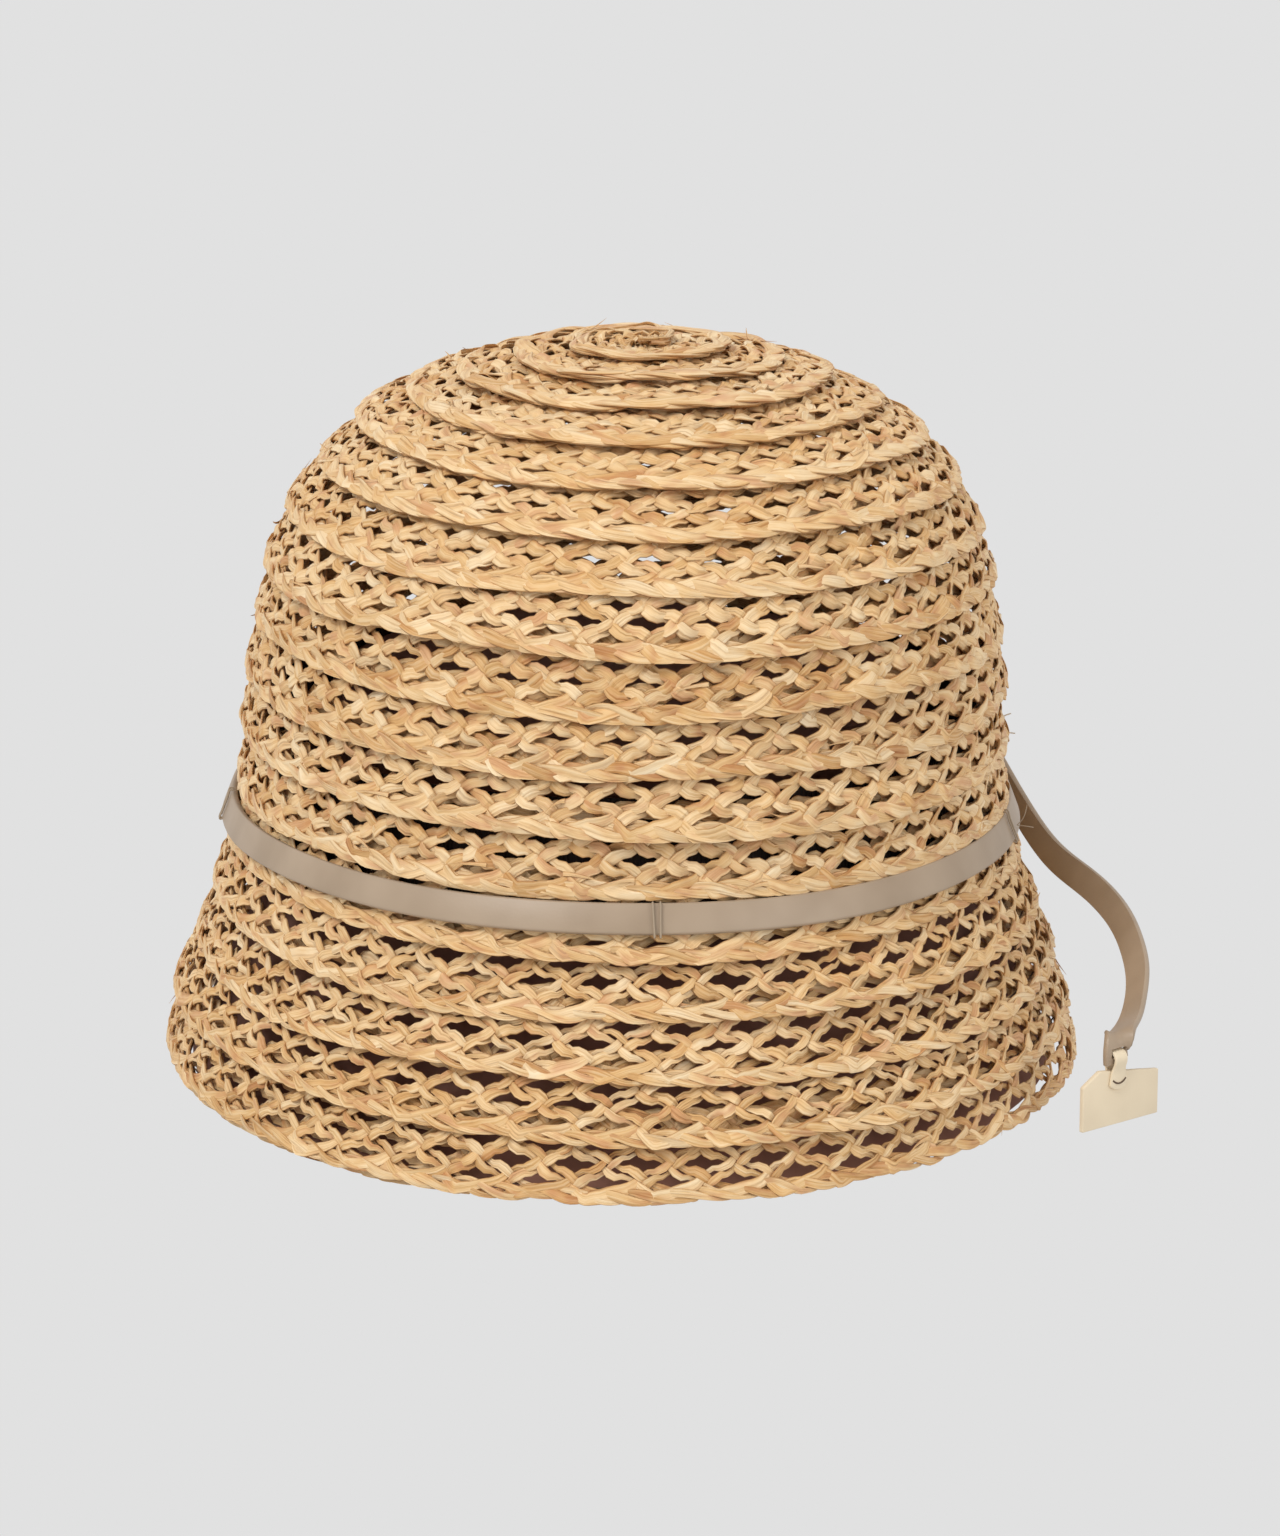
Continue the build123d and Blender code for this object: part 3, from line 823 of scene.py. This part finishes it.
tacks = []
for angle in TACK_ANGLES:
    for side in (-TACK_HALF_GAP, TACK_HALF_GAP):
        lean = math.degrees(side / BAND_HALF_WIDE)
        line = [beside_band(angle + lean * (1 + 0.3 * share), share, stand)[0] for share, stand in TACK_PATH]
        sideways = np.cross(beside_band(angle, 0.5, 0)[1], (0, 0, 1))
        bar = round_section(TACK_THREAD)
        tacks.append(sweep("tack", smooth_path(line, 26), sideways, bar, "shell"))
loose_root, loose_out = beside_band(LOOSE_ANGLE, 0.35, 0.25)
for rise_to, reach in ((4.5, 1.6), (-0.6, 3.2)):
    line = [
        loose_root,
        loose_root + loose_out * reach * 0.5 + (0.4, 0, rise_to * 0.3),
        loose_root + loose_out * reach + (0.6, 0.8, rise_to),
    ]
    hair = round_section(LOOSE_THREAD)
    tacks.append(sweep("thread end", smooth_path(line, 14), (0.3, 0.9, 0.2), hair, "shell"))
tacks = join(tacks, "band_tack_threads")
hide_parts("band_tacks")

seam_turn = np.arange(0.6, FINISH - 0.9, 1 / 150)
seam = on_hat(seam_turn, np.full_like(seam_turn, SEAM_UP), np.full_like(seam_turn, -SEAM_IN))
fine_section = round_section(FINE_THREAD, 6)
seam = sweep("lap_seam_thread", seam, (0, 0, 1), fine_section, "shell")
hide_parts("lap_thread")
print("tacks:", len(TACK_ANGLES), "seam sections:", len(seam_turn))

# %% [markdown]
# ## Sweatband
#
# Inside the crown runs a grosgrain ribbon, a ribbed cloth tape stretched round the head opening. It is sewn
# along its lower edge and stands up freely above.

# %% Sweatband
RIBBON_THICK = 0.7
HEM_STEPS = 361
HEM_IN = 0.25
ribbon_points = points_of("sweatband")
ribbon_line = ribbon_points[(np.abs(ribbon_points[:, 1]) < 0.01) & (ribbon_points[:, 0] > 0)]
ribbon_low = ribbon_line[ribbon_line[:, 2] < ribbon_line[:, 2].min() + 2]
ribbon_top = ribbon_line[ribbon_line[:, 2] > ribbon_line[:, 2].max() - 2]
ribbon_foot, ribbon_head = (r[r[:, 0].argmin()] for r in (ribbon_low, ribbon_top))
ribbon = oval_band("grosgrain_sweatband", ribbon_foot, ribbon_head, RIBBON_THICK, 0, "shell")
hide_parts("sweatband")
hem = points_of("sweatband_thread")
hem_x = hem[:, 0].max() - HEM_IN
hem_z = hem[hem[:, 0].argmax(), 2]
turn = np.linspace(0, 2 * np.pi, HEM_STEPS)
hem_line = np.stack([hem_x * np.cos(turn), oval * hem_x * np.sin(turn), np.full(HEM_STEPS, hem_z)], -1)
hem_thread = sweep("sweatband_seam_thread", hem_line, (0, 0, 1), fine_section, "shell")
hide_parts("sweatband_thread")

# %% [markdown]
# ## Strap
#
# The free end of the strip hangs from the band at the back of the wearer's left side. It is folded like the
# band: rounded outside, and inside its two edges meet in a fine line down the middle. It leaves the band
# standing on edge, swings forward, and twists as it falls, so each point below has its own width direction.
# Near its end a Boolean punches the slit that the tab goes through.

# %% Strap
STRAP_LINE = [
    ((84.88, 40.11, 57.07), (0.00, 0.00, 1.00)),
    ((91.8, 28.5, 46.0), (0.20, -0.10, 0.97)),
    ((98.2, 17.0, 38.4), (0.35, -0.10, 0.93)),
    ((105.4, 2.0, 35.2), (0.48, -0.05, 0.87)),
    ((110.9, -14.0, 32.2), (0.55, -0.12, 0.83)),
    ((113.0, -28.5, 28.9), (0.60, -0.20, 0.76)),
    ((113.2, -40.0, 25.4), (0.64, -0.28, 0.70)),
    ((111.8, -49.0, 22.2), (0.68, -0.32, 0.66)),
    ((109.8, -57.0, 20.4), (0.76, -0.10, 0.50)),
    ((108.0, -62.6, 20.0), (0.80, 0.20, 0.35)),
    ((106.8, -66.0, 19.4), (0.78, 0.50, 0.15)),
    ((106.18, -67.08, 18.4), (0.77, 0.64, 0.00)),
    ((106.18, -67.08, 14.81), (0.77, 0.64, 0.00)),
]
STRAP_SECTION = [
    (3.05, -0.75), (3.25, -0.45), (3.3, 0), (3.2, 0.45), (2.9, 0.72), (1.6, 0.84), (0.35, 0.86), (0.12, 0.55),
    (-0.12, 0.55), (-0.35, 0.86), (-1.6, 0.84), (-2.9, 0.72), (-3.2, 0.45), (-3.3, 0), (-3.25, -0.45),
    (-3.05, -0.75), (-1.5, -0.88), (0, -0.9), (1.5, -0.88),
]
SLIT_SIZE = (4.2, 6, 2.0)
SLIT_UP = 2.0  # above the strap's end
strap_path = smooth_path([point + wide for point, wide in STRAP_LINE], 150)
strap = sweep("leather_strap", strap_path[:, :3], strap_path[:, 3:], STRAP_SECTION, "strap")
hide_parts("strap_tail")
strap_end, end_wide = STRAP_LINE[-1]
slit_at = (strap_end[0] * MM, strap_end[1] * MM, (strap_end[2] + SLIT_UP) * MM)
slit_turn = math.atan2(end_wide[1], end_wide[0])
bpy.ops.mesh.primitive_cube_add(size=1, location=slit_at, rotation=(0, 0, slit_turn))
punch = bpy.context.object
punch.scale = [size * MM for size in SLIT_SIZE]
slit = strap.modifiers.new("slit", "BOOLEAN")
slit.operation = "DIFFERENCE"
slit.object = punch
bpy.context.view_layer.objects.active = strap
bpy.ops.object.modifier_apply(modifier=slit.name)
bpy.ops.object.select_all(action="DESELECT")
punch.select_set(True)
bpy.ops.object.delete()
print("strap faces:", len(strap.data.polygons))

# %% [markdown]
# ## Thread that ties the strap
#
# A thicker thread goes over the strap's root and into the straw above and below the band. Two loose ends of
# clear thread stick out beside it, as they do where a maker has cut a knot.

# %% Thread that ties the strap
TIE_ANGLE = 112
TIE_PATH = ((4.4, 2.0), (4.7, 0.6), (3.9, 0), (0, 0), (-3.9, 0), (-4.7, 0.6), (-4.4, 2.0))  # (up, inward)
TIE_THREAD, CLEAR_THREAD = 0.42, 0.16
LOOSE_ENDS = {"loose_end_high": (4.5, -3.0, 6.0), "loose_end_low": (5.5, -4.0, 1.5)}
anchor = np.array(STRAP_LINE[0][0])
anchor_out = beside_band(TIE_ANGLE, 0.5, 0)[1]
loop = smooth_path([anchor + (0, 0, up) - anchor_out * inward for up, inward in TIE_PATH], 40)
tie_side = np.cross(anchor_out, (0, 0, 1))
tie = sweep("strap_tie_thread", loop, tie_side, round_section(TIE_THREAD), "shell")
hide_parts("strap_anchor_thread")
loose = []
for name, reach in LOOSE_ENDS.items():
    root = anchor + anchor_out * 0.6 + (0, 0, 3.0)
    line = [root, root + np.array(reach) * (0.4, 0.4, 0.7), root + np.array(reach)]
    hair = round_section(CLEAR_THREAD)
    loose.append(sweep(name, smooth_path(line, 14), (0, 0, 1), hair, "shell"))
print("tie thread and", len(loose), "loose ends")

# %% [markdown]
# ## Tag and tab
#
# The tag is the CAD plate with its corners and edges rounded. The tab is a narrow strip of the same leather.
# It goes up the tag's front, round the bar below the strap's slit and down behind, and one curved stitch
# holds it.

# %% Tag
TAG_EDGE = 0.3
MERGE = 0.00001
FLAT_ANGLE = math.radians(2)
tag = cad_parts["tag"].copy()
tag.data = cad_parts["tag"].data.copy()
tag.name = "leather_tag"
for key in list(tag.keys()):
    del tag[key]
bpy.context.scene.collection.objects.link(tag)
bpy.ops.object.select_all(action="DESELECT")
bpy.context.view_layer.objects.active = tag
tag.select_set(True)
bpy.ops.object.mode_set(mode="EDIT")
bpy.ops.mesh.select_all(action="SELECT")
bpy.ops.mesh.remove_doubles(threshold=MERGE)
bpy.ops.mesh.dissolve_limited(angle_limit=FLAT_ANGLE)
bpy.ops.object.mode_set(mode="OBJECT")
soften = tag.modifiers.new("soften", "BEVEL")
soften.width = TAG_EDGE * MM
soften.segments = 3
soften.limit_method = "ANGLE"
bpy.ops.object.modifier_apply(modifier=soften.name)
tidy(tag)
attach(tag, "tag")
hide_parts("tag")

TAG_ALONG = np.array([0.768284, 0.64011, 0])
TAG_FACE = np.array([0.64011, -0.768284, 0])
PIVOT = np.array([106.178, -67.0846, 15.314])
TAB_LINE = [  # (out of the tag's face, up from the pivot)
    (0.97, -6.6), (0.98, -4.5), (1.02, -2.6), (1.45, -1.2), (1.73, 0), (1.22, 1.22), (0, 1.73), (-1.22, 1.22),
    (-1.73, 0), (-1.4, -1.3), (-1.02, -2.6), (-0.98, -4.6),
]
TAB_SECTION = [
    (1.75, 0.2), (1.6, 0.33), (0, 0.35), (-1.6, 0.33), (-1.75, 0.2),
    (-1.75, -0.2), (-1.6, -0.33), (0, -0.35), (1.6, -0.33), (1.75, -0.2),
]
TAB_STEPS = 70
TAB_FLARE, FLARE_SHARE = 0.45, 0.3  # the tab's front end is this much wider, over this share of its length
ROUND_SHARE = 0.075  # and its very end is round
tab_points = [PIVOT + TAG_FACE * out + np.array([0, 0, up]) for out, up in TAB_LINE]
share = np.linspace(0, 1, TAB_STEPS)
flare = 1 + TAB_FLARE * np.cos(np.pi / 2 * share / FLARE_SHARE)
tab_width = np.where(share < FLARE_SHARE, flare, 1.0)
tab_width *= np.sqrt(np.clip(1 - np.clip(1 - share / ROUND_SHARE, 0, 1) ** 2, 0.02, 1))
tab_path = smooth_path(tab_points, TAB_STEPS)
tab = sweep("leather_tab", tab_path, TAG_ALONG, TAB_SECTION, "tag", tab_width)
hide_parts("tag_tab")

STITCH_HALF_WIDE = 1.9


def stitch_point(a):
    """A point of the curved stitch, where a runs from -1 at one end to 1 at the other."""
    out = 1.38 - 0.1 * abs(a) ** 3
    up = -5.3 + 0.9 * a * a
    return PIVOT + TAG_ALONG * STITCH_HALF_WIDE * a + TAG_FACE * out + np.array([0, 0, up])


stitch_line = [stitch_point(a) for a in np.linspace(-1, 1, 24)]
stitch = sweep("tab_stitch", stitch_line, (0, 0, 1), round_section(0.2, 6), "tag")
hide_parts("tag_stitch")
print("tag faces:", len(tag.data.polygons), "tab faces:", len(tab.data.polygons))

# %% [markdown]
# ## Leather, thread and ribbon
#
# The leathers are matt to satin. Cells give them a fine grain, and soft noise makes patches of a little
# darker and lighter colour. Thread is plain. Grosgrain has ribs across its length, and a wave that goes
# round the hat's axis drives its bump.

# %% Leather, thread and ribbon materials
PATCHES = 70.0  # in a metre, so each is about 14 mm
GRAINS = 1600.0  # in a metre, so each is about 0.6 mm
RIBS = 620  # round the head, each about 0.9 mm


def leather(name, dark, light, rough):
    """Dyed leather between a darker and a lighter colour."""
    material, shader = new_material(name)
    place = node(material, "ShaderNodeTexCoord").outputs["Object"]
    soft = node(material, "ShaderNodeTexNoise", {"Vector": place}, Scale=PATCHES, Detail=2.0).outputs["Fac"]
    grain = node(material, "ShaderNodeTexVoronoi", {"Vector": place}, Scale=GRAINS).outputs["Distance"]
    colour = ramp(material, soft, [(0.3, dark), (0.7, light)])
    material.node_tree.links.new(colour, shader.inputs["Base Color"])
    bump = node(material, "ShaderNodeBump", {"Height": grain}, Strength=0.12, Distance=0.0001)
    material.node_tree.links.new(bump.outputs["Normal"], shader.inputs["Normal"])
    shader.inputs["Roughness"].default_value = rough
    return material


def plain(name, colour, rough):
    """One colour all over."""
    material, shader = new_material(name)
    shader.inputs["Base Color"].default_value = linear(colour)
    shader.inputs["Roughness"].default_value = rough
    return material


def grosgrain(name):
    """A ribbed cloth tape."""
    material, shader = new_material(name)
    place = node(material, "ShaderNodeTexCoord").outputs["Object"]
    parts = node(material, "ShaderNodeSeparateXYZ", {"Vector": place}).outputs
    turn = node(material, "ShaderNodeMath", {0: parts["Y"], 1: parts["X"]}, operation="ARCTAN2")
    ribs = node(material, "ShaderNodeMath", {0: turn.outputs[0]}, operation="MULTIPLY")
    ribs.inputs[1].default_value = RIBS
    wave = node(material, "ShaderNodeMath", {0: ribs.outputs[0]}, operation="SINE")
    bump = node(material, "ShaderNodeBump", {"Height": wave.outputs[0]}, Strength=0.6, Distance=0.0002)
    material.node_tree.links.new(bump.outputs["Normal"], shader.inputs["Normal"])
    shader.inputs["Base Color"].default_value = linear("#2E2019")
    shader.inputs["Roughness"].default_value = 0.8
    return material


greige = leather("greige band leather", "#9C8770", "#AA957E", 0.42)
cream = leather("cream tag leather", "#DDCBAE", "#E8D7B9", 0.55)
thread = plain("greige tacking thread", "#A08E78", 0.7)
brown_thread = plain("brown sewing thread", "#5A4534", 0.75)
cloth = grosgrain("brown grosgrain")
clear_thread = plain("clear nylon thread", "#ECE8E0", 0.3)
finishes = [
    ((band, strap), greige),
    (loose, clear_thread),
    ((tag, tab), cream),
    ((tacks, tie), thread),
    ((seam, hem_thread, stitch), brown_thread),
    ((ribbon,), cloth),
]
for pieces, material in finishes:
    for piece in pieces:
        piece.data.materials.clear()
        piece.data.materials.append(material)
print("finishes:", [material.name for _, material in finishes])

# %% [markdown]
# ## Floor and light
#
# The floor is pale and evenly lit, and takes no shadow, and the surround is pale too. A broad sun from the
# upper left in front shows the weave and leaves soft shadows in the laps, and a weaker one fills from the
# right. A dark brown block follows the hat's inside, wide below and narrower above. It is painted shade: it
# stands in for the dark inside of the hat, so the lower holes read dark. Floor and block are staging, not
# part of the hat.

# %% Floor and light
FLOOR_SIZE = 40
BLOCK_FOOT, BLOCK_TOP, BLOCK_HIGH = 0.097, 0.064, 0.084
SURROUND = 0.78
SUNS = (  # name, strength, spread in degrees, the way the light goes
    ("key", 1.45, 25, (0.52, 0.62, -0.88)),
    ("fill", 0.5, 40, (-0.8, 0.6, -0.35)),
)
bpy.ops.mesh.primitive_plane_add(size=FLOOR_SIZE, location=(0, 0, 0))
floor = bpy.context.object
floor.name = "floor"
paper = plain("pale studio paper, lit evenly from below", "#000000", 1.0)
shader = paper.node_tree.nodes["Principled BSDF"]
shader.inputs["Specular IOR Level"].default_value = 0.0
shader.inputs["Emission Color"].default_value = linear("#E1E1E1")
shader.inputs["Emission Strength"].default_value = 1.0
floor.data.materials.append(paper)
# A dark brown block inside the hat stands in for the shade there: painted shade that darkens the lower holes.
bpy.ops.mesh.primitive_cone_add(
    vertices=96, radius1=BLOCK_FOOT, radius2=BLOCK_TOP, depth=BLOCK_HIGH, location=(0, 0, BLOCK_HIGH / 2)
)
block = bpy.context.object
block.name = "inner shade block"
block.scale = (1, oval, 1)
block.data.materials.append(plain("dark brown painted inner shade", "#8A6253", 0.95))

world = bpy.data.worlds.new("studio")
bpy.context.scene.world = world
world.use_nodes = True
world.node_tree.nodes["Background"].inputs["Color"].default_value = linear("#FAFAFA")
world.node_tree.nodes["Background"].inputs["Strength"].default_value = SURROUND
for name, strength, spread, way in SUNS:
    light = bpy.data.lights.new(name, "SUN")
    light.energy = strength
    light.angle = math.radians(spread)
    lamp = bpy.data.objects.new(name, light)
    lamp.rotation_euler = Vector(way).to_track_quat("-Z", "Y").to_euler()
    bpy.context.scene.collection.objects.link(lamp)
print("floor and light placed")
